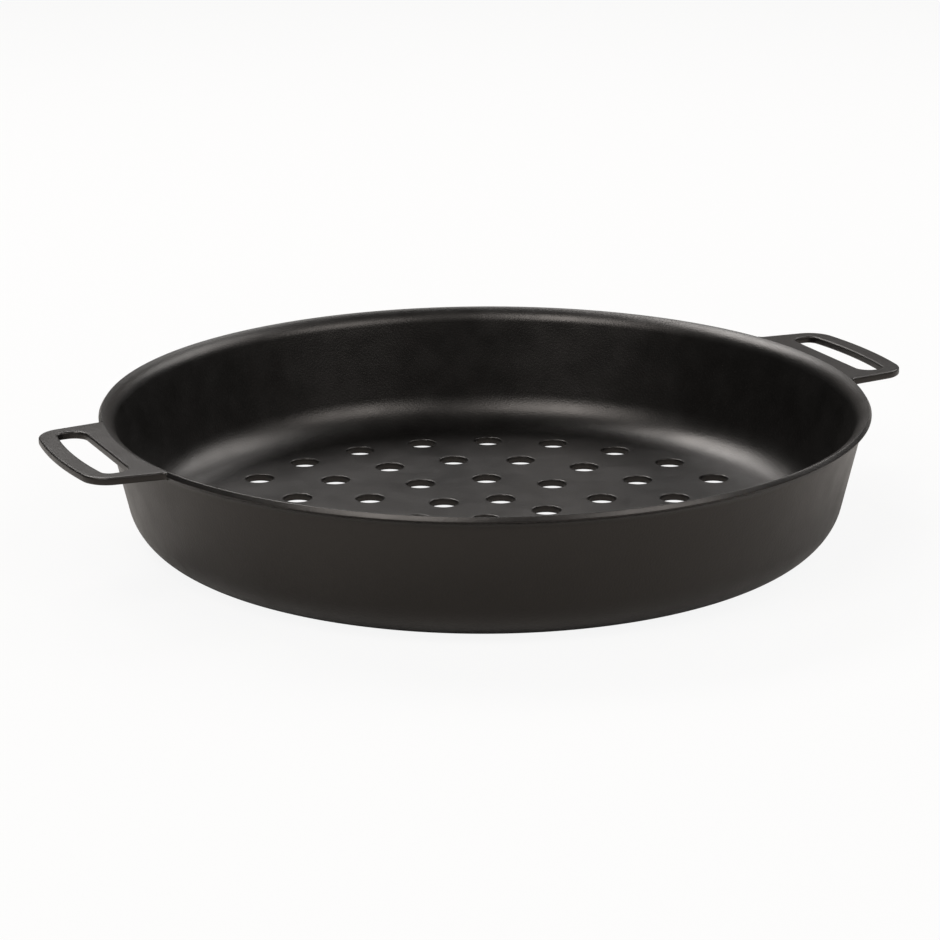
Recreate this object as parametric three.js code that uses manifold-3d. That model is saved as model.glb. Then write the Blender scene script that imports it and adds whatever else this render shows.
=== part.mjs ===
// Perforated grill pan: a round steel bowl with a drilled floor, and a flat loop handle welded on each side.
// Millimetres, +Z up. The origin is the middle of the base, and +X runs along the right handle.
import * as THREE from 'three';
import { mergeVertices } from 'three/addons/utils/BufferGeometryUtils.js';
import Module from 'manifold-3d';

const degrees = THREE.MathUtils.degToRad;

// Bowl
const RIM_RADIUS = 150; // out to the edge of the lip
const HEIGHT = 52; // base to the top of the lip
const SHEET = 3; // floor and wall
const WALL_LEAN = degrees(12.7); // how far the wall leans out from upright
const BASE_BEND = 17; // inside radius between the floor and the wall
const LIP_EDGE = 2.6; // thickness of the lip at its edge
const LIP_SHOULDER = 1.6; // radius of the edge's upper corner
const LIP_ROUND = 0.5; // radius of the edge's lower corner
const LIP_OVERHANG = 2.4; // how far the lip stands out past the line of the wall
const LIP_FLARE = 7.5; // radius of the inside as it turns over the lip
const LIP_FILLET = 4; // radius of the inside corner under the lip

// Holes in the floor, on rings round a centre hole
const HOLE_DIAMETER = 11.6;
const RING_PITCH = 27; // from one ring to the next
const RING_ONE_HOLES = 7;
const HOLES_PER_RING = 6; // ring two has twice this, ring three three times, and so on
const HOLE_LAND = 3; // least flat floor left outside the last ring
const HOLE_LINE = degrees(154); // every ring has a hole on this line

// Handles
const PLATE = 3; // handle plate thickness
const HANDLE_REACH = 25; // from the lip to the handle's outer edge
const HANDLE_WIDTH = 73; // across the root
const HANDLE_TAPER = degrees(6); // how far each side leans in towards the tip
const HANDLE_CORNER = 11; // outer corners
const ROOT_FILLET = 1.5; // inside corners where the sides meet the lip
const ROOT_EDGE = 0.5; // thickness left at the end of a root fillet
const SLOT_SETBACK = 5.2; // from the lip to the finger slot
const SLOT_END_BAR = 8; // from the root's width to each end of the slot
const GRIP_BAR = 7.3; // outside the slot
const SLOT_LIP_CORNER = 5.5; // the slot's corners beside the lip
const SLOT_GRIP_CORNER = 3.5; // the slot's corners beside the grip

// Welds
const WELD_LAP = 2.6; // how far a bead runs under the handle plate
const WELD_DEPTH = 1.5;
const WELD_STOP = 7; // a bead ends this far short of the handle's sides

// Fits
const JOINT_GAP = 0.3; // between pieces that are joined
const DRILL_OVERRUN = 1; // the drill passes this far beyond both faces of the floor

// Facets
const BOWL_FACETS = 72;
const BEND_STEPS = 6;
const EDGE_STEPS = 4;
const FILLET_STEPS = 4;
const HOLE_FACETS = 12;
const WELD_STEPS = 8;

const COATING_COLOUR = 0x2d2a27;

const wasm = await Module();
wasm.setup();

// Points along an arc, from one angle to the other, both ends included.
function arcPoints(centre, radius, from, to, steps) {
  return Array.from({ length: steps + 1 }, (_, step) => {
    const angle = THREE.MathUtils.lerp(from, to, step / steps);
    return new THREE.Vector2(centre.x + radius * Math.cos(angle), centre.y + radius * Math.sin(angle));
  });
}

// The angle of the line from one point to another, from -180 to 180 degrees.
function bearing(from, to) {
  return Math.atan2(to.y - from.y, to.x - from.x);
}

// The point on start + s * direction, s rising, that lies at the given distance from the origin.
function pointAtDistance(start, direction, distance) {
  const along = start.dot(direction);
  const travel = Math.sqrt(along ** 2 - start.lengthSq() + distance ** 2) - along;
  return start.clone().addScaledVector(direction, travel);
}

// A closed geometry as a solid for joining and cutting. Slivers at a lathe's poles are dropped.
function solidOf(geometry) {
  geometry.deleteAttribute('normal');
  geometry.deleteAttribute('uv');
  const merged = mergeVertices(geometry);
  const corners = merged.index.array;
  const triVerts = [];
  for (let first = 0; first < corners.length; first += 3) {
    const [a, b, c] = corners.slice(first, first + 3);
    if (a !== b && b !== c && c !== a) {
      triVerts.push(a, b, c);
    }
  }
  return new wasm.Manifold(new wasm.Mesh({
    numProp: 3,
    vertProperties: new Float32Array(merged.attributes.position.array),
    triVerts: new Uint32Array(triVerts),
  }));
}

function geometryOf(solid) {
  const mesh = solid.getMesh();
  const geometry = new THREE.BufferGeometry();
  geometry.setAttribute('position', new THREE.BufferAttribute(mesh.vertProperties, 3));
  geometry.setIndex(new THREE.BufferAttribute(mesh.triVerts, 1));
  geometry.computeVertexNormals();
  return geometry;
}

function coatedMesh(name, geometry) {
  const coating = new THREE.MeshStandardMaterial({ color: COATING_COLOUR, roughness: 0.55, metalness: 0.1 });
  const mesh = new THREE.Mesh(geometry, coating);
  mesh.name = name;
  return mesh;
}

// The bowl in section, as radius and height: the centres of the bends at its base and its lip.
const edgeRound = Math.min(LIP_ROUND, LIP_EDGE / 2);
const shoulder = Math.min(LIP_SHOULDER, LIP_EDGE - edgeRound);
const edgeTop = new THREE.Vector2(RIM_RADIUS - shoulder, HEIGHT - shoulder);
const edgeBottom = new THREE.Vector2(RIM_RADIUS - edgeRound, HEIGHT - LIP_EDGE + edgeRound);
const wallUp = new THREE.Vector2(Math.sin(WALL_LEAN), Math.cos(WALL_LEAN));
const wallOut = new THREE.Vector2(Math.cos(WALL_LEAN), -Math.sin(WALL_LEAN));

// Radius of the wall's outer face, which meets the overhang half way up the lip's edge.
function wallRadius(height) {
  return RIM_RADIUS - LIP_OVERHANG - (HEIGHT - LIP_EDGE / 2 - height) * Math.tan(WALL_LEAN);
}

// The centre of a bend that lies the given distance outside the wall, tangent to a corner of the lip.
function lipCentre(corner, outside, distance) {
  const across = outside - (corner.x - wallRadius(corner.y)) * Math.cos(WALL_LEAN);
  const down = Math.sqrt(distance ** 2 - across ** 2);
  return corner.clone().addScaledVector(wallOut, across).addScaledVector(wallUp, -down);
}
const flareCentre = lipCentre(edgeTop, LIP_FLARE - SHEET, LIP_FLARE - shoulder);
const filletCentre = lipCentre(edgeBottom, LIP_FILLET, LIP_FILLET + edgeRound);

function baseBendCentre() {
  const height = SHEET + BASE_BEND;
  return new THREE.Vector2(wallRadius(height) - height / Math.cos(WALL_LEAN), height);
}
const baseCentre = baseBendCentre();

// The section: out under the base, up the outside, round the lip and down the inside.
function bowlSection() {
  const down = -Math.PI / 2;
  const outward = -WALL_LEAN;
  const inward = Math.PI - WALL_LEAN;
  const underLip = bearing(filletCentre, edgeBottom);
  const overLip = bearing(flareCentre, edgeTop);
  return [
    new THREE.Vector2(0, 0),
    ...arcPoints(baseCentre, BASE_BEND + SHEET, down, outward, BEND_STEPS),
    ...arcPoints(filletCentre, LIP_FILLET, inward, underLip, FILLET_STEPS),
    ...arcPoints(edgeBottom, edgeRound, underLip - Math.PI, 0, EDGE_STEPS).slice(1),
    ...arcPoints(edgeTop, shoulder, 0, overLip, EDGE_STEPS),
    ...arcPoints(flareCentre, LIP_FLARE, overLip, inward, BEND_STEPS).slice(1),
    ...arcPoints(baseCentre, BASE_BEND, outward, down, BEND_STEPS),
    new THREE.Vector2(0, SHEET),
  ];
}

// Hole centres: the middle one, then as many rings as the flat floor holds.
function holeCentres() {
  const centres = [new THREE.Vector2(0, 0)];
  const lastRadius = baseCentre.x - HOLE_LAND - HOLE_DIAMETER / 2;
  for (let ring = 1; ring * RING_PITCH <= lastRadius; ring += 1) {
    const count = ring === 1 ? RING_ONE_HOLES : ring * HOLES_PER_RING;
    for (let hole = 0; hole < count; hole += 1) {
      const angle = HOLE_LINE + (2 * Math.PI * hole) / count;
      centres.push(new THREE.Vector2(Math.cos(angle), Math.sin(angle)).multiplyScalar(ring * RING_PITCH));
    }
  }
  return centres;
}

function panBody() {
  const bowl = new THREE.LatheGeometry(bowlSection(), BOWL_FACETS);
  bowl.rotateX(Math.PI / 2);
  let solid = solidOf(bowl);
  for (const centre of holeCentres()) {
    const drill = new THREE.CylinderGeometry(
      HOLE_DIAMETER / 2,
      HOLE_DIAMETER / 2,
      SHEET + 2 * DRILL_OVERRUN,
      HOLE_FACETS,
    );
    drill.rotateX(Math.PI / 2);
    drill.translate(centre.x, centre.y, SHEET / 2);
    solid = solid.subtract(solidOf(drill));
  }
  return coatedMesh('pan_body', geometryOf(solid));
}

// The handle's root lies along the lip, and its tip is an arc about the same centre.
const rootRadius = RIM_RADIUS + JOINT_GAP;
const tipRadius = RIM_RADIUS + HANDLE_REACH;
const halfWidth = HANDLE_WIDTH / 2;

// The finger slot: straight along the lip, curved along the grip, with rounded corners.
function fingerSlot() {
  const inner = RIM_RADIUS + SLOT_SETBACK;
  const outerRadius = tipRadius - GRIP_BAR;
  const halfLength = halfWidth - SLOT_END_BAR;
  const endWidth = Math.sqrt(outerRadius ** 2 - halfLength ** 2) - inner;
  const fit = Math.min(1, endWidth / (SLOT_LIP_CORNER + SLOT_GRIP_CORNER));
  const lipCorner = SLOT_LIP_CORNER * fit;
  const gripCorner = SLOT_GRIP_CORNER * fit;
  const lipY = halfLength - lipCorner;
  const gripY = halfLength - gripCorner;
  const gripX = Math.sqrt((outerRadius - gripCorner) ** 2 - gripY ** 2);
  const gripAngle = Math.atan2(gripY, gripX);
  const slot = new THREE.Path();
  slot.absarc(inner + lipCorner, -lipY, lipCorner, -Math.PI, -Math.PI / 2);
  slot.absarc(gripX, -gripY, gripCorner, -Math.PI / 2, -gripAngle);
  slot.absarc(0, 0, outerRadius, -gripAngle, gripAngle);
  slot.absarc(gripX, gripY, gripCorner, gripAngle, Math.PI / 2);
  slot.absarc(inner + lipCorner, lipY, lipCorner, Math.PI / 2, Math.PI);
  slot.closePath();
  return slot;
}

// The plate from above, round from the near root fillet to the far one and back along the lip.
function handleOutline() {
  const sideStart = new THREE.Vector2(Math.sqrt(rootRadius ** 2 - halfWidth ** 2), halfWidth);
  const sideLine = new THREE.Vector2(Math.cos(HANDLE_TAPER), -Math.sin(HANDLE_TAPER));
  const sideNormal = new THREE.Vector2(Math.sin(HANDLE_TAPER), Math.cos(HANDLE_TAPER));
  const fillet = pointAtDistance(
    sideStart.clone().addScaledVector(sideNormal, ROOT_FILLET),
    sideLine,
    rootRadius + ROOT_EDGE + ROOT_FILLET,
  );
  const corner = pointAtDistance(
    sideStart.clone().addScaledVector(sideNormal, -HANDLE_CORNER),
    sideLine,
    tipRadius - HANDLE_CORNER,
  );
  const normalAngle = sideNormal.angle();
  const rootAngle = fillet.angle();
  const tipAngle = corner.angle();
  const outline = new THREE.Shape();
  outline.moveTo(rootRadius * Math.cos(rootAngle), -rootRadius * Math.sin(rootAngle));
  outline.absarc(fillet.x, -fillet.y, ROOT_FILLET, Math.PI - rootAngle, Math.PI - normalAngle, true);
  outline.absarc(corner.x, -corner.y, HANDLE_CORNER, -normalAngle, -tipAngle);
  outline.absarc(0, 0, tipRadius, -tipAngle, tipAngle);
  outline.absarc(corner.x, corner.y, HANDLE_CORNER, tipAngle, normalAngle);
  outline.absarc(fillet.x, fillet.y, ROOT_FILLET, normalAngle - Math.PI, rootAngle - Math.PI, true);
  outline.absarc(0, 0, rootRadius, rootAngle, -rootAngle, true);
  outline.holes.push(fingerSlot());
  return outline;
}

function handle(name) {
  const plate = new THREE.ExtrudeGeometry(handleOutline(), {
    depth: PLATE,
    bevelEnabled: false,
    curveSegments: BEND_STEPS,
  });
  const mesh = coatedMesh(name, plate);
  mesh.position.z = HEIGHT - PLATE;
  return mesh;
}

// A level arc about the pan's axis, as a path to sweep a section along.
class LevelArc extends THREE.Curve {
  constructor(radius, height, halfAngle) {
    super();
    Object.assign(this, { radius, height, halfAngle });
  }

  getPoint(t, target = new THREE.Vector3()) {
    const angle = THREE.MathUtils.lerp(-this.halfAngle, this.halfAngle, t);
    return target.set(this.radius * Math.cos(angle), this.radius * Math.sin(angle), this.height);
  }
}

// The bead under a handle's joint, with a step up to the thinner of the lip's edge and the plate.
// Along the sweep, x runs down and y runs in towards the pan's axis.
function handleWeld(name) {
  const inner = edgeBottom.x;
  const outer = RIM_RADIUS + WELD_LAP;
  const middle = (inner + outer) / 2;
  const halfChord = (outer - inner) / 2;
  const beadRadius = (halfChord ** 2 + WELD_DEPTH ** 2) / (2 * WELD_DEPTH);
  const beadCentre = new THREE.Vector2(WELD_DEPTH - beadRadius, 0);
  const beadAngle = Math.atan2(halfChord, -beadCentre.x);
  const bead = arcPoints(beadCentre, beadRadius, -beadAngle, beadAngle, BEND_STEPS);
  const rise = -Math.abs(LIP_EDGE - PLATE);
  if (LIP_EDGE > PLATE) {
    const stepStart = middle - rootRadius;
    bead.push(
      new THREE.Vector2(0, stepStart),
      new THREE.Vector2(rise, stepStart),
      new THREE.Vector2(rise, -halfChord),
    );
  } else if (LIP_EDGE < PLATE) {
    const stepEnd = middle - RIM_RADIUS;
    bead.push(
      new THREE.Vector2(rise, halfChord),
      new THREE.Vector2(rise, stepEnd),
      new THREE.Vector2(0, stepEnd),
    );
  }
  const top = HEIGHT - Math.max(LIP_EDGE, PLATE) - JOINT_GAP;
  const halfAngle = Math.asin((halfWidth - WELD_STOP) / RIM_RADIUS);
  const sweep = new THREE.ExtrudeGeometry(new THREE.Shape(bead), {
    steps: WELD_STEPS,
    bevelEnabled: false,
    extrudePath: new LevelArc(middle, top, halfAngle),
  });
  return coatedMesh(name, sweep);
}

const pan = new THREE.Group();
pan.add(panBody());
for (const [side, turn] of [['right', 0], ['left', Math.PI]]) {
  const handleJoint = new THREE.Group();
  handleJoint.rotation.z = turn;
  handleJoint.add(handle(`${side}_handle`), handleWeld(`${side}_handle_weld`));
  pan.add(handleJoint);
}

export default pan;
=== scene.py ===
"""Looks of a perforated grill pan: a black-coated bowl with a drilled floor and two welded loop handles."""

import logging
import math
from collections.abc import Callable
from dataclasses import dataclass
from enum import Enum

import bmesh
import bpy
from mathutils import Matrix, Vector


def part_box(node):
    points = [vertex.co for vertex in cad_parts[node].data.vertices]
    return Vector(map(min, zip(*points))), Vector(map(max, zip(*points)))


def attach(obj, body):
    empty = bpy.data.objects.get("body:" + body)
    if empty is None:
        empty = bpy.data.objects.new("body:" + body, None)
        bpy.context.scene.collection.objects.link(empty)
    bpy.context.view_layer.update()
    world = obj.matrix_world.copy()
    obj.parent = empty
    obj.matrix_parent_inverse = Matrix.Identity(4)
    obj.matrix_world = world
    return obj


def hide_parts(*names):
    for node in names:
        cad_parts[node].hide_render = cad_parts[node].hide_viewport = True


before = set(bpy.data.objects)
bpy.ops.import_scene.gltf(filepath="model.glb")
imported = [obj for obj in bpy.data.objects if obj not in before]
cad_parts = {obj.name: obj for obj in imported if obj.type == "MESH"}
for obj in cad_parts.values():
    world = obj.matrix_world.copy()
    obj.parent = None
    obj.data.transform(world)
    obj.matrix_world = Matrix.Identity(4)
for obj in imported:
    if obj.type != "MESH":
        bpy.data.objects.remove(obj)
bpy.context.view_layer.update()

log = logging.getLogger("grill_pan")

PAN_BODY = "root"
MERGE_DISTANCE = 1e-6
START_SIZE = 0.001
WHITE = (1.0, 1.0, 1.0, 1.0)

Point = tuple[float, float]
Colour = tuple[float, float, float]
Piece = bpy.types.Object


class Side(Enum):
    """Which side of the pan a handle is on, with its turn about the pan's axis."""

    RIGHT = 0.0
    LEFT = math.pi

    @property
    def word(self) -> str:
        """The side as it stands in node names."""
        return self.name.lower()


# Drawing and mesh tools

def arc(centre: Point, radius: float, start: float, end: float, steps: int) -> list[Point]:
    """Points along an arc, both ends included.

    Args:
        centre: Centre of the arc.
        radius: Radius of the arc.
        start: Angle of the first point, in radians.
        end: Angle of the last point, in radians.
        steps: Number of equal steps between them.

    Returns:
        The points, in order.
    """
    angles = [start + (end - start) * step / steps for step in range(steps + 1)]
    return [(centre[0] + radius * math.cos(a), centre[1] + radius * math.sin(a)) for a in angles]


def between(first: Point, last: Point, steps: int) -> list[Point]:
    """Points that divide a straight stretch, both ends left out.

    Args:
        first: Start of the stretch.
        last: End of the stretch.
        steps: Number of equal steps.

    Returns:
        The points between, in order.
    """
    shares = [step / steps for step in range(1, steps)]
    return [(first[0] + (last[0] - first[0]) * s, first[1] + (last[1] - first[1]) * s) for s in shares]


def bearing(start: Point, end: Point) -> float:
    """The angle of the line from one point to another, in radians."""
    return math.atan2(end[1] - start[1], end[0] - start[0])


def deselect_everything() -> None:
    """Leave edit mode and deselect every object."""
    if bpy.context.mode != "OBJECT":
        bpy.ops.object.mode_set(mode="OBJECT")
    bpy.ops.object.select_all(action="DESELECT")


def select_edges(piece: Piece, test: Callable[[bmesh.types.BMEdge], bool]) -> None:
    """Select the edges of a piece in edit mode that pass a test, and nothing else.

    Args:
        piece: The piece, already in edit mode.
        test: Says whether an edge is selected.
    """
    bpy.ops.mesh.select_mode(type="EDGE")
    bpy.ops.mesh.select_all(action="DESELECT")
    mesh = bmesh.from_edit_mesh(piece.data)
    for edge in mesh.edges:
        edge.select_set(test(edge))
    bmesh.update_edit_mesh(piece.data)


def level_with(edge: bmesh.types.BMEdge, level: float) -> bool:
    """Whether both ends of an edge lie at a level."""
    return all(abs(vertex.co.z - level) < MERGE_DISTANCE for vertex in edge.verts)


def close_mesh() -> None:
    """Merge the doubles of the piece in edit mode, point its faces outwards and go back to object mode."""
    bpy.ops.mesh.select_all(action="SELECT")
    bpy.ops.mesh.remove_doubles(threshold=MERGE_DISTANCE)
    bpy.ops.mesh.normals_make_consistent(inside=False)
    bpy.ops.object.mode_set(mode="OBJECT")


def spun(name: str, profile: list[Point], steps: int) -> Piece:
    """A surface turned about the Z axis: a vertex is extruded along a profile, which is then spun.

    Args:
        name: Name of the new piece.
        profile: Radius and height of each point of the profile.
        steps: Number of steps round the full turn.

    Returns:
        The new piece, in object mode.
    """
    deselect_everything()
    bpy.ops.mesh.primitive_plane_add(size=START_SIZE, enter_editmode=True)
    piece = bpy.context.active_object
    piece.name = name
    bpy.ops.mesh.select_all(action="SELECT")
    bpy.ops.mesh.merge(type="CENTER")
    bpy.ops.transform.translate(value=(profile[0][0], 0.0, profile[0][1]))
    for here, there in zip(profile, profile[1:]):
        step = (there[0] - here[0], 0.0, there[1] - here[1])
        bpy.ops.mesh.extrude_region_move(TRANSFORM_OT_translate={"value": step})
    bpy.ops.mesh.select_all(action="SELECT")
    bpy.ops.mesh.spin(steps=steps, angle=math.tau, center=(0.0, 0.0, 0.0), axis=(0.0, 0.0, 1.0))
    close_mesh()
    return piece


def lofted(name: str, rings: list[list[Vector]], capped: bool) -> Piece:
    """A skin over a row of rings: a circle is shaped to the first ring and extruded to each next one.

    Args:
        name: Name of the new piece.
        rings: Rings of equally many points. Where the last repeats the first, the skin closes on itself.
        capped: Whether the first and last rings are filled.

    Returns:
        The new piece, in object mode.
    """
    deselect_everything()
    bpy.ops.mesh.primitive_circle_add(vertices=len(rings[0]), radius=START_SIZE, enter_editmode=True)
    piece = bpy.context.active_object
    piece.name = name
    bpy.ops.mesh.select_mode(type="VERT")
    bpy.ops.mesh.select_all(action="SELECT")
    mesh = bmesh.from_edit_mesh(piece.data)
    mesh.verts.ensure_lookup_table()
    place = {vertex.index: row for row, vertex in enumerate(mesh.verts)}
    for vertex in mesh.verts:
        vertex.co = rings[0][place[vertex.index]]
    for ring in rings[1:]:
        bpy.ops.mesh.extrude_edges_move()
        mesh = bmesh.from_edit_mesh(piece.data)
        mesh.verts.index_update()
        grown = [vertex for vertex in mesh.verts if vertex.select]
        rows = {}
        for vertex in grown:
            partner = next(e.other_vert(vertex) for e in vertex.link_edges if not e.other_vert(vertex).select)
            rows[vertex.index] = place[partner.index]
        for vertex in grown:
            vertex.co = ring[rows[vertex.index]]
        place = rows
    bmesh.update_edit_mesh(piece.data)
    if capped:
        bpy.ops.mesh.select_all(action="SELECT")
        bpy.ops.mesh.fill_holes(sides=0)
    close_mesh()
    return piece


def copy_of(piece: Piece, move: Matrix) -> Piece:
    """A copy of a piece with a mesh of its own, whose place is in the mesh.

    Args:
        piece: The piece to copy.
        move: Where the copy goes.

    Returns:
        The copy.
    """
    copy = piece.copy()
    copy.data = piece.data.copy()
    copy.data.transform(move)
    bpy.context.scene.collection.objects.link(copy)
    return copy


def joined(pieces: list[Piece]) -> Piece:
    """Join pieces into the first of them.

    Args:
        pieces: The pieces to join.

    Returns:
        The first piece, which now holds them all.
    """
    deselect_everything()
    for piece in pieces:
        piece.select_set(True)
    bpy.context.view_layer.objects.active = pieces[0]
    bpy.ops.object.join()
    return pieces[0]


def smooth(piece: Piece) -> None:
    """Shade a piece smooth all over, as every edge of it is rounded in its mesh.

    Args:
        piece: The piece to shade.
    """
    deselect_everything()
    piece.select_set(True)
    bpy.context.view_layer.objects.active = piece
    bpy.ops.object.shade_smooth()


def finish_piece(piece: Piece, node: str, finish: "Coating") -> None:
    """Put a piece in place of its solid and dress it.

    Args:
        piece: The finished mesh, with its place in it.
        node: The solid that it stands for.
        finish: The coating that covers it.
    """
    smooth(piece)
    piece.data.materials.clear()
    piece.data.materials.append(finish.material())
    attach(piece, PAN_BODY)
    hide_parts(node)
    log.info("%s stands for %s: %d faces", piece.name, node, len(piece.data.polygons))


# Finishes

COATING_BLACK = (0.0024, 0.0022, 0.0020)
WARM_GLOSS = (1.0, 0.92, 0.86)
NOISE_LOW, NOISE_HIGH = 0.3, 0.7


@dataclass(frozen=True)
class Coating:
    """A matte black baked coating with a fine grain, on steel.

    The grain is a height that bumps the surface, the peel is a wider unevenness under it, and the mottle
    shifts colour and gloss a little from place to place. The tint warms what the coating mirrors. Sizes are
    in metres, and each detail is a number of octaves of finer noise.
    """

    name: str
    mottle: float
    roughness: tuple[float, float]
    grain_size: float
    grain_depth: float
    peel_size: float
    peel_depth: float
    mottle_size: float
    colour: Colour = COATING_BLACK
    refraction: float = 1.5
    tint: Colour = WARM_GLOSS
    grain_detail: float = 2.0
    peel_detail: float = 1.0
    mottle_detail: float = 4.0

    def material(self) -> bpy.types.Material:
        """The coating as a material, made once.

        Returns:
            The material.
        """
        known = bpy.data.materials.get(self.name)
        if known:
            return known
        material = bpy.data.materials.new(self.name)
        material.use_nodes = True
        shader = material.node_tree.nodes["Principled BSDF"]
        shader.inputs["IOR"].default_value = self.refraction
        shader.inputs["Specular Tint"].default_value = (*self.tint, 1.0)
        self._colour_nodes(material.node_tree, shader)
        self._bump_nodes(material.node_tree, shader)
        return material

    def _noise(self, tree: bpy.types.NodeTree, size: float, detail: float) -> bpy.types.Node:
        """A noise on the piece's own coordinates.

        Args:
            tree: The material's nodes.
            size: Width of one blotch of the noise.
            detail: Octaves of finer noise on it.

        Returns:
            The noise node.
        """
        coordinates = tree.nodes.new("ShaderNodeTexCoord")
        noise = tree.nodes.new("ShaderNodeTexNoise")
        noise.inputs["Scale"].default_value = 1.0 / size
        noise.inputs["Detail"].default_value = detail
        tree.links.new(coordinates.outputs["Object"], noise.inputs["Vector"])
        return noise

    def _colour_nodes(self, tree: bpy.types.NodeTree, shader: bpy.types.Node) -> None:
        """Link the mottled colour and gloss to the shader.

        Args:
            tree: The material's nodes.
            shader: The shader that they reach.
        """
        blotches = self._noise(tree, self.mottle_size, self.mottle_detail)
        ramp = tree.nodes.new("ShaderNodeValToRGB")
        darker, lighter = ramp.color_ramp.elements
        darker.position, lighter.position = NOISE_LOW, NOISE_HIGH
        darker.color = [c * (1.0 - self.mottle) for c in self.colour] + [1.0]
        lighter.color = [c * (1.0 + self.mottle) for c in self.colour] + [1.0]
        tree.links.new(blotches.outputs["Fac"], ramp.inputs["Fac"])
        tree.links.new(ramp.outputs["Color"], shader.inputs["Base Color"])
        gloss = tree.nodes.new("ShaderNodeMapRange")
        gloss.inputs["From Min"].default_value = NOISE_LOW
        gloss.inputs["From Max"].default_value = NOISE_HIGH
        gloss.inputs["To Min"].default_value, gloss.inputs["To Max"].default_value = self.roughness
        tree.links.new(blotches.outputs["Fac"], gloss.inputs["Value"])
        tree.links.new(gloss.outputs["Result"], shader.inputs["Roughness"])

    def _bump_nodes(self, tree: bpy.types.NodeTree, shader: bpy.types.Node) -> None:
        """Link the peel and, on top of it, the grain to the shader's normal.

        Args:
            tree: The material's nodes.
            shader: The shader that they reach.
        """
        last = None
        for size, depth, detail in (
            (self.peel_size, self.peel_depth, self.peel_detail),
            (self.grain_size, self.grain_depth, self.grain_detail),
        ):
            height = self._noise(tree, size, detail)
            bump = tree.nodes.new("ShaderNodeBump")
            bump.inputs["Strength"].default_value = 1.0
            bump.inputs["Distance"].default_value = depth
            tree.links.new(height.outputs["Fac"], bump.inputs["Height"])
            if last:
                tree.links.new(last.outputs["Normal"], bump.inputs["Normal"])
            last = bump
        tree.links.new(last.outputs["Normal"], shader.inputs["Normal"])


BODY_COATING = Coating(
    name="grained_bowl_coating",
    mottle=0.15,
    roughness=(0.33, 0.40),
    grain_size=0.0008,
    grain_depth=0.00006,
    peel_size=0.006,
    peel_depth=0.00004,
    mottle_size=0.012,
)

HANDLE_COATING = Coating(
    name="grained_handle_coating",
    mottle=0.12,
    roughness=(0.35, 0.42),
    grain_size=0.0008,
    grain_depth=0.00006,
    peel_size=0.005,
    peel_depth=0.00003,
    mottle_size=0.010,
)

WELD_COATING = Coating(
    name="grained_weld_coating",
    mottle=0.20,
    roughness=(0.42, 0.52),
    grain_size=0.0006,
    grain_depth=0.00006,
    peel_size=0.003,
    peel_depth=0.00008,
    mottle_size=0.008,
)


# The bowl

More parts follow.
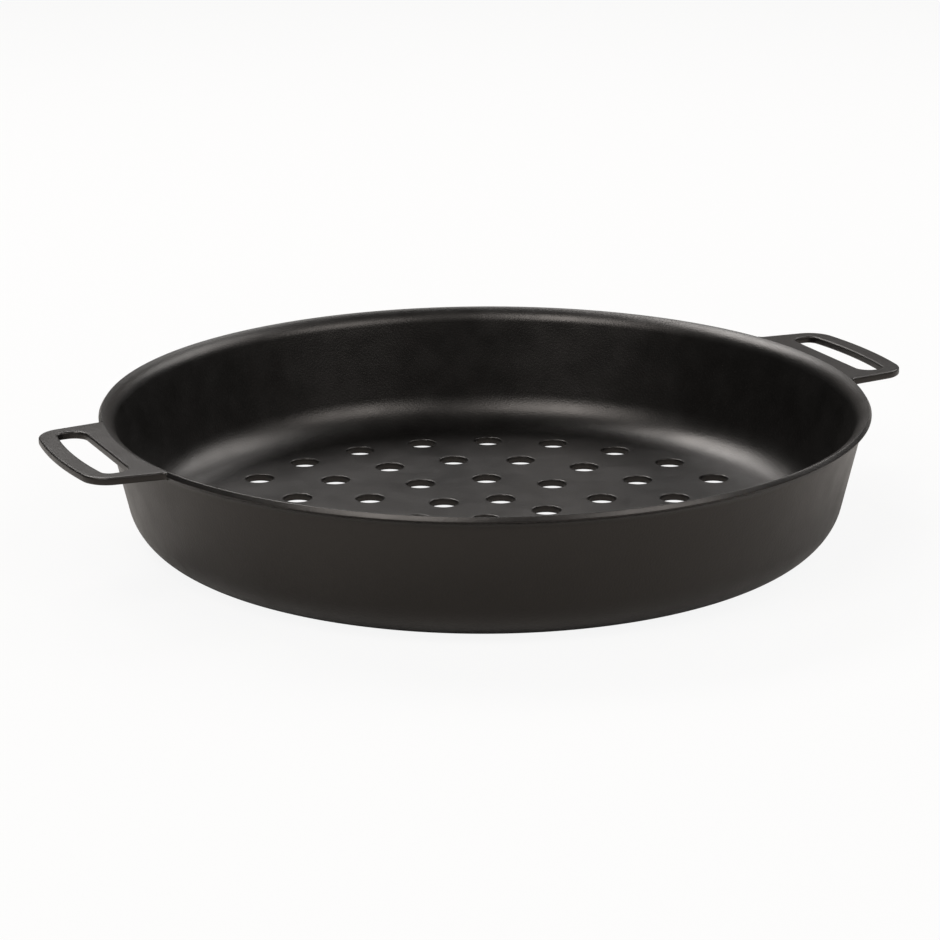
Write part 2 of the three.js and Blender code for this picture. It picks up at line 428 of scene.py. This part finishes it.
@dataclass
class Bowl:
    """The bowl: a drilled floor, a base bend, a leaning wall and a flared lip, all in one piece."""

    rim_radius: float
    height: float
    sheet: float = 0.003
    wall_lean: float = math.radians(12.7)
    base_bend: float = 0.017
    lip_edge: float = 0.0016
    lip_bevel: float = math.radians(35.0)
    lip_round: float = 0.0003
    lip_overhang: float = 0.0025
    lip_flare: float = 0.0075
    lip_fillet: float = 0.005
    hole_diameter: float = 0.0116
    hole_round: float = 0.0005
    hole_collar: float = 0.0014
    ring_pitch: float = 0.027
    ring_one_holes: int = 7
    holes_per_ring: int = 6
    hole_land: float = 0.003
    hole_line: float = math.radians(154.0)
    floor_margin: float = 0.0015
    turn_steps: int = 288
    bend_steps: int = 20
    flare_steps: int = 12
    corner_steps: int = 6
    wall_steps: int = 6
    hole_steps: int = 36

    def wall_radius(self, height: float) -> float:
        """Radius of the wall's outer face at a height."""
        edge_height = self.height - self.lip_edge
        return self.rim_radius - self.lip_overhang - (edge_height - height) * math.tan(self.wall_lean)

    def base_centre(self) -> Point:
        """Centre of the bend between the floor and the wall, as radius and height."""
        height = self.sheet + self.base_bend
        return self.wall_radius(height) - height / math.cos(self.wall_lean), height

    def lip_centre(self, corner: Point, outside: float, distance: float) -> Point:
        """Centre of a bend beside the wall that is tangent to a corner of the lip's edge.

        Args:
            corner: Centre of the corner's round.
            outside: How far the centre lies outside the wall's outer face.
            distance: How far it lies from the corner's centre.

        Returns:
            The centre, as radius and height.
        """
        lean_sin, lean_cos = math.sin(self.wall_lean), math.cos(self.wall_lean)
        across = outside - (corner[0] - self.wall_radius(corner[1])) * lean_cos
        down = math.sqrt(distance**2 - across**2)
        radius = corner[0] + across * lean_cos - down * lean_sin
        return radius, corner[1] - across * lean_sin - down * lean_cos

    def lip_edge_centre(self) -> Point:
        """Centre of the round on the lip's outermost edge."""
        return self.rim_radius - self.lip_round, self.height - self.lip_edge

    def lip_crest_centre(self) -> Point:
        """Centre of the round on the lip's crest, where the bevel above the edge ends."""
        setback = (self.lip_edge - self.lip_round) * math.tan(self.lip_bevel)
        return self.rim_radius - self.lip_round - setback, self.height - self.lip_round

    def under_lip_centre(self) -> Point:
        """Centre of the hollow between the wall and the lip's outermost edge."""
        return self.lip_centre(self.lip_edge_centre(), self.lip_fillet, self.lip_fillet + self.lip_round)

    def under_lip_radius(self, height: float) -> float:
        """Radius of the lip's hollow underside at a height."""
        centre = self.under_lip_centre()
        return centre[0] - math.sqrt(self.lip_fillet**2 - (height - centre[1]) ** 2)

    def section(self) -> list[Point]:
        """The bowl's wall in section, from the flat under the base round the lip to the floor inside.

        Returns:
            Radius and height of each point.
        """
        edge, crest, fillet = self.lip_edge_centre(), self.lip_crest_centre(), self.under_lip_centre()
        flare = self.lip_centre(crest, self.lip_flare - self.sheet, self.lip_flare - self.lip_round)
        base = self.base_centre()
        down, outward, inward = -math.pi / 2, -self.wall_lean, math.pi - self.wall_lean
        under_lip, over_lip = bearing(fillet, edge), bearing(flare, crest)
        outer_bend = arc(base, self.base_bend + self.sheet, down, outward, self.bend_steps)
        under_fillet = arc(fillet, self.lip_fillet, inward, under_lip, self.flare_steps)
        over_flare = arc(flare, self.lip_flare, over_lip, inward, self.flare_steps)[1:]
        inner_bend = arc(base, self.base_bend, outward, down, self.bend_steps)
        flat = base[0] - self.floor_margin
        return [
            (flat, 0.0),
            *outer_bend,
            *between(outer_bend[-1], under_fillet[0], self.wall_steps),
            *under_fillet,
            *arc(edge, self.lip_round, under_lip - math.pi, self.lip_bevel, self.corner_steps)[1:],
            *arc(crest, self.lip_round, self.lip_bevel, over_lip, self.corner_steps),
            *over_flare,
            *between(over_flare[-1], inner_bend[0], self.wall_steps),
            *inner_bend,
            (flat, self.sheet),
        ]

    def hole_centres(self) -> list[Point]:
        """Centres of the drilled holes: the middle one, then as many rings as the flat floor holds.

        Returns:
            The centres, ring by ring.
        """
        centres = [(0.0, 0.0)]
        last_radius = self.base_centre()[0] - self.hole_land - self.hole_diameter / 2
        for ring in range(1, int(last_radius / self.ring_pitch) + 1):
            count = self.ring_one_holes if ring == 1 else ring * self.holes_per_ring
            turn = self.hole_line + math.tau
            centres += arc((0.0, 0.0), ring * self.ring_pitch, self.hole_line, turn, count)[:-1]
        return centres

    def hole_wall(self) -> Piece:
        """One hole's wall with its rounded edges and a narrow collar of floor above and below.

        Returns:
            The wall, centred on the pan's axis.
        """
        radius, edge = self.hole_diameter / 2, self.hole_round
        collar = radius + self.hole_collar
        upper = (radius + edge, self.sheet - edge)
        lower = (radius + edge, edge)
        profile = [
            (collar, self.sheet),
            (collar - edge, self.sheet),
            *arc(upper, edge, math.pi / 2, math.pi, self.corner_steps),
            *arc(lower, edge, math.pi, 1.5 * math.pi, self.corner_steps),
            (collar - edge, 0.0),
            (collar, 0.0),
        ]
        return spun("hole_wall", profile, self.hole_steps)

    def build(self) -> Piece:
        """Spin the wall, set the hole walls in the floor and fill the floor between them.

        Returns:
            The bowl as one closed mesh.
        """
        wall = spun("bowl", self.section(), self.turn_steps)
        pattern = self.hole_wall()
        holes = [copy_of(pattern, Matrix.Translation((x, y, 0.0))) for x, y in self.hole_centres()]
        bpy.data.objects.remove(pattern)
        bowl = joined([wall, *holes])
        bpy.ops.object.mode_set(mode="EDIT")
        for level in (self.sheet, 0.0):
            select_edges(bowl, lambda edge: edge.is_boundary and level_with(edge, level))
            bpy.ops.mesh.fill(use_beauty=True)
        close_mesh()
        return bowl

    def make(self) -> None:
        """Build the bowl and dress it."""
        bowl = self.build()
        finish_piece(bowl, "pan_body", BODY_COATING)


# The handles and their welds

@dataclass
class LoopHandle:
    """A flat loop plate that runs out level from the lip, with a finger slot and rounded edges."""

    side: Side
    rim_radius: float
    crest_radius: float
    top: float
    tip_radius: float
    plate: float
    width: float = 0.073
    taper: float = math.radians(6.0)
    corner: float = 0.011
    root_fillet: float = 0.0015
    slot_setback: float = 0.0052
    slot_end_bar: float = 0.008
    grip_bar: float = 0.0073
    slot_lip_corner: float = 0.0055
    slot_grip_corner: float = 0.0035
    edge_round: float = 0.0008
    flat_margin: float = 0.0004
    round_steps: int = 6
    long_steps: int = 32
    corner_steps: int = 16
    side_steps: int = 8
    fillet_steps: int = 8

    def side_lines(self) -> tuple[Point, Point, float]:
        """Centres of the root fillet and the tip corner on the far side, and the side's outward angle.

        Returns:
            The fillet's centre, the corner's centre, and the angle that the side faces.
        """
        half = self.width / 2
        start = Vector((math.sqrt(self.rim_radius**2 - half**2), half))
        along = Vector((math.cos(self.taper), -math.sin(self.taper)))
        facing = Vector((math.sin(self.taper), math.cos(self.taper)))
        beside, within = start + facing * self.root_fillet, start - facing * self.corner
        fillet = self._at_distance(beside, along, self.rim_radius + self.root_fillet)
        corner = self._at_distance(within, along, self.tip_radius - self.corner)
        return tuple(fillet), tuple(corner), math.atan2(facing.y, facing.x)

    def _at_distance(self, start: Vector, along: Vector, distance: float) -> Vector:
        """The point on a line at a distance from the pan's axis.

        Args:
            start: A point on the line.
            along: Direction of the line.
            distance: The distance from the axis.

        Returns:
            The point further along the line.
        """
        ahead = start.dot(along)
        return start + along * (math.sqrt(ahead**2 - start.length_squared + distance**2) - ahead)

    def outline(self) -> list[Point]:
        """Half of the plate's outline from above, from the middle of the root to the middle of the tip.

        Returns:
            The points on the far half, which the near half mirrors.
        """
        fillet, corner, facing = self.side_lines()
        root_angle = math.atan2(fillet[1], fillet[0])
        tip_angle = math.atan2(corner[1], corner[0])
        root = arc((0.0, 0.0), self.crest_radius - self.edge_round, 0.0, root_angle, self.long_steps)
        inner = arc(fillet, self.root_fillet, root_angle - math.pi, facing - math.pi, self.fillet_steps)
        outer = arc(corner, self.corner, facing, tip_angle, self.corner_steps)
        tip = arc((0.0, 0.0), self.tip_radius, tip_angle, 0.0, self.long_steps)
        return [*root, *inner, *between(inner[-1], outer[0], self.side_steps), *outer, *tip[1:]]

    def slot(self) -> list[Point]:
        """Half of the finger slot from above, from the middle by the lip to the middle by the grip.

        Returns:
            The points on the far half, which the near half mirrors.
        """
        lip, grip = self.slot_lip_corner, self.slot_grip_corner
        near, far_radius = self.rim_radius + self.slot_setback, self.tip_radius - self.grip_bar
        end = self.width / 2 - self.slot_end_bar
        grip_centre = (math.sqrt((far_radius - grip) ** 2 - (end - grip) ** 2), end - grip)
        grip_angle = math.atan2(grip_centre[1], grip_centre[0])
        quarter = math.pi / 2
        lip_corner = arc((near + lip, end - lip), lip, math.pi, quarter, self.corner_steps)
        grip_corner = arc(grip_centre, grip, quarter, grip_angle, self.corner_steps)
        along_grip = arc((0.0, 0.0), far_radius, grip_angle, 0.0, self.long_steps)
        along_lip = between((near, 0.0), lip_corner[0], self.long_steps)
        return [(near, 0.0), *along_lip, *lip_corner, *grip_corner, *along_grip[1:]]

    def _loop(self, half: list[Point]) -> list[Vector]:
        """A closed outline from its far half and the mirrored near half.

        Args:
            half: Points from the middle of the root to the middle of the tip.

        Returns:
            The points all the way round.
        """
        far = [Vector(point) for point in half]
        near = [Vector((point[0], -point[1])) for point in half[-2:0:-1]]
        return far + near

    def _inset(self, loop: list[Vector], depth: float) -> list[Vector]:
        """An outline moved sideways by the same distance all round, with mitred corners.

        Args:
            loop: The outline.
            depth: How far it moves to the right of its line.

        Returns:
            The moved points.
        """
        moved = []
        for row, point in enumerate(loop):
            before = (point - loop[row - 1]).normalized()
            after = (loop[(row + 1) % len(loop)] - point).normalized()
            square = Vector((before.y + after.y, -before.x - after.x))
            moved.append(point + square * (depth / (1.0 + before.dot(after))))
        return moved

    def edge_strip(self, name: str, half: list[Point], inward: float) -> Piece:
        """The rounded edge along an outline, with a narrow flat margin above and below.

        Args:
            name: Name of the new piece.
            half: The outline's far half.
            inward: One where the plate lies to the right of the outline, minus one where it lies to the left.

        Returns:
            The edge as an open strip.
        """
        loop, edge = self._loop(half), self.edge_round
        bottom, quarter = self.top - self.plate, math.pi / 2
        levels = [(edge + self.flat_margin, bottom)]
        for height, start in ((bottom + edge, -quarter), (self.top - edge, 0.0)):
            curve = arc((0.0, height), edge, start, start + quarter, self.round_steps)
            levels += [(edge - out, level) for out, level in curve]
        levels.append((edge + self.flat_margin, self.top))
        turn = Matrix.Rotation(self.side.value, 3, "Z")
        rings = []
        for depth, level in levels:
            rings.append([turn @ Vector((p.x, p.y, level)) for p in self._inset(loop, inward * depth)])
        return lofted(name, rings, capped=False)

    def build(self) -> Piece:
        """Make the outer edge and the slot's edge, and fill the plate's faces between them.

        Returns:
            The handle as one closed mesh.
        """
        outside = self.edge_strip(f"{self.side.word}_loop_handle", self.outline(), 1.0)
        slot = self.edge_strip("slot_edge", self.slot(), -1.0)
        handle = joined([outside, slot])
        bpy.ops.object.mode_set(mode="EDIT")
        for level in (self.top, self.top - self.plate):
            select_edges(handle, lambda edge: edge.is_boundary and level_with(edge, level))
            bpy.ops.mesh.fill(use_beauty=True)
        close_mesh()
        return handle

    def make(self) -> None:
        """Build the handle and dress it."""
        finish_piece(self.build(), f"{self.side.word}_handle", HANDLE_COATING)


@dataclass
class WeldBead:
    """The rippled bead along the underside of the joint between the lip and a handle."""

    side: Side
    inner_radius: float
    outer_radius: float
    bottom: float
    middle: float
    top: float
    half_length: float
    ripple_pitch: float = 0.0014
    ripple: float = 0.10
    end_length: float = 0.003
    end_size: float = 0.02
    ring_points: int = 14
    steps_per_ripple: int = 4

    def _swell(self, along: float) -> float:
        """The bead's size at a place, as a share of its full size: rounded ends and a ripple that leans back.

        Args:
            along: Distance from the bead's middle.

        Returns:
            The share.
        """
        left = max(0.0, self.half_length - abs(along))
        end = math.sqrt(1.0 - (1.0 - min(1.0, left / self.end_length)) ** 2)
        phase = (along / self.ripple_pitch) % 1.0
        return max(end, self.end_size) * (1.0 - self.ripple * phase**2)

    def rings(self) -> list[list[Vector]]:
        """The bead's section at each step along it.

        Returns:
            The sections, from one end to the other.
        """
        centre = (self.inner_radius + self.outer_radius) / 2
        half_width = (self.outer_radius - self.inner_radius) / 2
        steps = round(2 * self.half_length / self.ripple_pitch) * self.steps_per_ripple
        turn = Matrix.Rotation(self.side.value, 3, "Z")
        rings = []
        for step in range(steps + 1):
            along = self.half_length * (2 * step / steps - 1)
            angle = along / centre
            swell = self._swell(along)
            ring = []
            for point in range(self.ring_points):
                round_angle = math.tau * point / self.ring_points
                radius = centre + half_width * swell * math.cos(round_angle)
                reach = (self.bottom if point <= self.ring_points / 2 else self.top) - self.middle
                level = self.middle + reach * swell * abs(math.sin(round_angle))
                ring.append(turn @ Vector((radius * math.cos(angle), radius * math.sin(angle), level)))
            rings.append(ring)
        return rings

    def make(self) -> None:
        """Build the bead and dress it."""
        bead = lofted(f"{self.side.word}_weld_bead", self.rings(), capped=True)
        finish_piece(bead, f"{self.side.word}_handle_weld", WELD_COATING)


# The studio

WARM_LAMP = (1.0, 0.88, 0.78)


@dataclass(frozen=True)
class Softbox:
    """A large soft lamp aimed at the pan, placed by its direction from the pan's middle."""

    name: str
    azimuth: float
    elevation: float
    distance: float
    width: float
    height: float
    power: float
    colour: Colour = WHITE[:3]

    def place(self, target: Vector) -> None:
        """Add the lamp.

        Args:
            target: What it is aimed at.
        """
        lamp = bpy.data.lights.new(self.name, "AREA")
        lamp.shape = "RECTANGLE"
        lamp.size, lamp.size_y = self.width, self.height
        lamp.energy = self.power
        lamp.color = self.colour
        holder = bpy.data.objects.new(self.name, lamp)
        away = direction(self.azimuth, self.elevation)
        holder.location = target + away * self.distance
        holder.rotation_euler = away.to_track_quat("Z", "Y").to_euler()
        bpy.context.scene.collection.objects.link(holder)


def direction(azimuth: float, elevation: float) -> Vector:
    """A direction from the pan's middle.

    Args:
        azimuth: Degrees round from +X towards +Y.
        elevation: Degrees above the level.

    Returns:
        The direction, of length one.
    """
    turn, rise = math.radians(azimuth), math.radians(elevation)
    return Vector((math.cos(turn) * math.cos(rise), math.sin(turn) * math.cos(rise), math.sin(rise)))


@dataclass
class Studio:
    """The camera, the pale floor, the soft lamps and the white surroundings."""

    target: Vector
    camera_azimuth: float = -115.384
    camera_elevation: float = 17.0
    camera_distance: float = 1.2270
    camera_roll: float = math.radians(-0.257)
    aim_right: float = -0.00592
    aim_up: float = -0.00267
    lens: float = 119.61
    sensor: float = 36.0
    floor_size: float = 12.0
    floor_drop: float = 0.0002
    floor_glow: float = 0.9
    mirror_glow: float = 0.04
    floor_colour: tuple[float, float, float, float] = (0.56, 0.53, 0.50, 1.0)
    world_light: float = 0.01
    lamp_distance: float = 1.6
    low_lamp_distance: float = 2.5

    def lamps(self) -> list[Softbox]:
        """The soft lamps, by where they stand as the camera sees them.

        Returns:
            The lamps.
        """
        front = self.camera_azimuth
        near = self.lamp_distance
        return [
            Softbox("front_left_softbox", front - 34.0, 49.0, near, width=0.8, height=0.9, power=17.0),
            Softbox("right_softbox", front + 54.0, 40.0, near, width=0.8, height=0.7, power=9.5),
            Softbox("back_left_softbox", front - 140.0, 49.0, near, width=0.9, height=0.5, power=16.8),
            Softbox("back_softbox", front + 180.0, 44.0, near, width=0.9, height=0.6, power=5.4),
            Softbox("back_right_softbox", front + 127.0, 37.0, near, width=0.9, height=0.8, power=10.0),
            Softbox(
                "low_back_softbox",
                front + 180.0,
                17.0,
                self.low_lamp_distance,
                width=3.0,
                height=1.0,
                power=1.1,
                colour=WARM_LAMP,
            ),
        ]

    def place_camera(self) -> None:
        """Set the camera where the photograph was taken from."""
        data = bpy.data.cameras.new("camera")
        data.lens, data.sensor_width = self.lens, self.sensor
        camera = bpy.data.objects.new("camera", data)
        away = direction(self.camera_azimuth, self.camera_elevation)
        place = self.target + away * self.camera_distance
        right = Vector((0.0, 0.0, 1.0)).cross(away).normalized()
        up = away.cross(right)
        aim = self.target + right * self.aim_right + up * self.aim_up
        turn = (aim - place).to_track_quat("-Z", "Y").to_matrix()
        camera.location = place
        camera.rotation_euler = (turn @ Matrix.Rotation(self.camera_roll, 3, "Z")).to_euler()
        bpy.context.scene.collection.objects.link(camera)
        bpy.context.scene.camera = camera

    def _glow_share(self, tree: bpy.types.NodeTree) -> bpy.types.NodeSocket:
        """How much of floor and surroundings shows as plain white: most where seen, less where mirrored.

        Args:
            tree: The nodes that it is added to.

        Returns:
            The socket with the share.
        """
        path = tree.nodes.new("ShaderNodeLightPath")
        last = None
        for kind, glow in (
            ("Is Camera Ray", self.floor_glow),
            ("Is Glossy Ray", self.mirror_glow),
            ("Is Transmission Ray", self.mirror_glow),
        ):
            share = tree.nodes.new("ShaderNodeMath")
            share.operation = "MULTIPLY"
            share.inputs[1].default_value = glow
            tree.links.new(path.outputs[kind], share.inputs[0])
            if last is None:
                last = share.outputs["Value"]
                continue
            larger = tree.nodes.new("ShaderNodeMath")
            larger.operation = "MAXIMUM"
            tree.links.new(last, larger.inputs[0])
            tree.links.new(share.outputs["Value"], larger.inputs[1])
            last = larger.outputs["Value"]
        return last

    def floor_material(self) -> bpy.types.Material:
        """A pale floor that shows almost white and keeps the pan's shadow.

        Returns:
            The material.
        """
        material = bpy.data.materials.new("studio_floor")
        material.use_nodes = True
        tree = material.node_tree
        tree.nodes.remove(tree.nodes["Principled BSDF"])
        matte = tree.nodes.new("ShaderNodeBsdfDiffuse")
        matte.inputs["Color"].default_value = self.floor_colour
        glow = tree.nodes.new("ShaderNodeEmission")
        mix = tree.nodes.new("ShaderNodeMixShader")
        tree.links.new(self._glow_share(tree), mix.inputs["Fac"])
        tree.links.new(matte.outputs["BSDF"], mix.inputs[1])
        tree.links.new(glow.outputs["Emission"], mix.inputs[2])
        tree.links.new(mix.outputs["Shader"], tree.nodes["Material Output"].inputs["Surface"])
        return material

    def lay_floor(self) -> None:
        """Lay the floor under the pan, a hair below its base so that the two faces don't coincide."""
        deselect_everything()
        bpy.ops.mesh.primitive_plane_add(size=self.floor_size, location=(0.0, 0.0, -self.floor_drop))
        floor = bpy.context.active_object
        floor.name = "studio_floor"
        floor.data.materials.append(self.floor_material())

    def light_world(self) -> None:
        """A faint even light from all round, which shows as white past the floor."""
        world = bpy.data.worlds.new("studio_world")
        world.use_nodes = True
        bpy.context.scene.world = world
        tree = world.node_tree
        faint = tree.nodes["Background"]
        white = tree.nodes.new("ShaderNodeBackground")
        for sky, strength in ((faint, self.world_light), (white, 1.0)):
            sky.inputs["Color"].default_value = WHITE
            sky.inputs["Strength"].default_value = strength
        mix = tree.nodes.new("ShaderNodeMixShader")
        tree.links.new(self._glow_share(tree), mix.inputs["Fac"])
        tree.links.new(faint.outputs["Background"], mix.inputs[1])
        tree.links.new(white.outputs["Background"], mix.inputs[2])
        tree.links.new(mix.outputs["Shader"], tree.nodes["World Output"].inputs["Surface"])

    def make(self) -> None:
        """Set up the whole studio."""
        self.place_camera()
        self.lay_floor()
        self.light_world()
        for lamp in self.lamps():
            lamp.place(self.target)
        bpy.context.scene.view_settings.view_transform = "Standard"


def main() -> None:
    """Build the pan round its solids' sizes and set up the studio."""
    logging.basicConfig(level=logging.INFO, format="%(name)s: %(message)s")
    body_low, body_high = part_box("pan_body")
    handle_low, handle_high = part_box("right_handle")
    weld_low, weld_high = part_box("right_handle_weld")
    bowl = Bowl(rim_radius=body_high.x, height=body_high.z)
    bowl.make()
    for side in Side:
        LoopHandle(
            side=side,
            rim_radius=bowl.rim_radius,
            crest_radius=bowl.lip_crest_centre()[0],
            top=handle_high.z,
            tip_radius=handle_high.x,
            plate=handle_high.z - handle_low.z,
        ).make()
        WeldBead(
            side=side,
            inner_radius=bowl.under_lip_radius(handle_low.z),
            outer_radius=weld_high.x,
            bottom=weld_low.z,
            middle=handle_low.z,
            top=handle_high.z - bowl.lip_edge,
            half_length=weld_high.y,
        ).make()
    Studio(target=Vector((0.0, 0.0, body_high.z / 2))).make()


if __name__ == "__main__":
    main()
